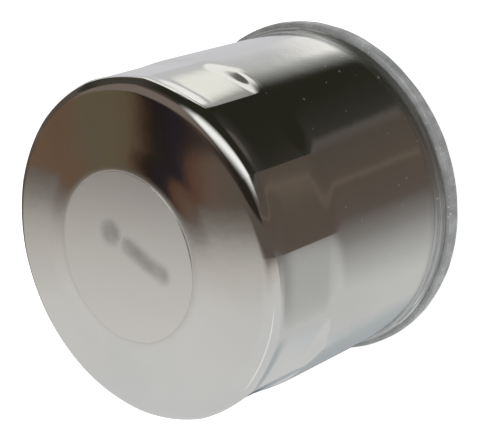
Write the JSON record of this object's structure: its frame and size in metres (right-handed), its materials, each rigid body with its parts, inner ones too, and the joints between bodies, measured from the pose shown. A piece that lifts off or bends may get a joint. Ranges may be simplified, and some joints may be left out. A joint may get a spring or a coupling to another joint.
{
  "type": "spin-on filter canister",
  "caption": "Chrome spin-on filter canister with wrench flats round its closed end, a seamed threaded base, a pleated element and a sprung bypass valve inside.",
  "frame": {"origin": "centre of the sealing gasket's lower face, on the thread's axis", "axes": "+Z along the thread's axis, from the gasket towards the closed end; +X through the middle of one wrench flat"},
  "size_m": [0.0694, 0.0694, 0.0587],
  "materials": {
    "chrome_can": "bright chrome plate",
    "label": "matte silver foil",
    "galvanised_lid": "dull zinc plate, scuffed",
    "sealant": "cured compound",
    "plate_steel": "zinc plated, machined thread",
    "nitrile": "matte black",
    "silicone": "soft satin",
    "tinned_cap": "tinplate",
    "tube_steel": "bare steel, oiled",
    "filter_paper": "resin-cured paper",
    "clip_steel": "bare strip",
    "potting": "cured plastisol",
    "spring_wire": "drawn wire",
    "rivet_steel": "plain",
    "blued_spring": "tempered blue"
  },
  "bodies": {
    "filter": {"can": "chrome_can", "end_label": "label", "seaming_lid": "galvanised_lid", "seam_sealant": "sealant", "tapping_plate": "plate_steel", "sealing_gasket": "nitrile", "anti_drain_valve": "silicone", "lower_end_cap": "tinned_cap", "upper_end_cap": "tinned_cap", "centre_tube": "tube_steel", "pleated_media": "filter_paper", "pleat_clip": "clip_steel", "lower_potting": "potting", "upper_potting": "potting", "bypass_cage": "tinned_cap", "bypass_spring": "spring_wire", "hold_down_spring": "blued_spring"},
    "bypass_valve": {"bypass_poppet": "tinned_cap", "bypass_seal": "nitrile", "bypass_rivet": "rivet_steel"}
  },
  "joints": [
    {"name": "bypass_valve_slide", "type": "slide", "parent": "filter", "child": "bypass_valve", "axis": [0, 0, -1], "range_m": [0, 0.0025], "stiffness_N_per_m": 950, "springref_m": -0.01, "deforming": ["bypass_spring"]}
  ]
}
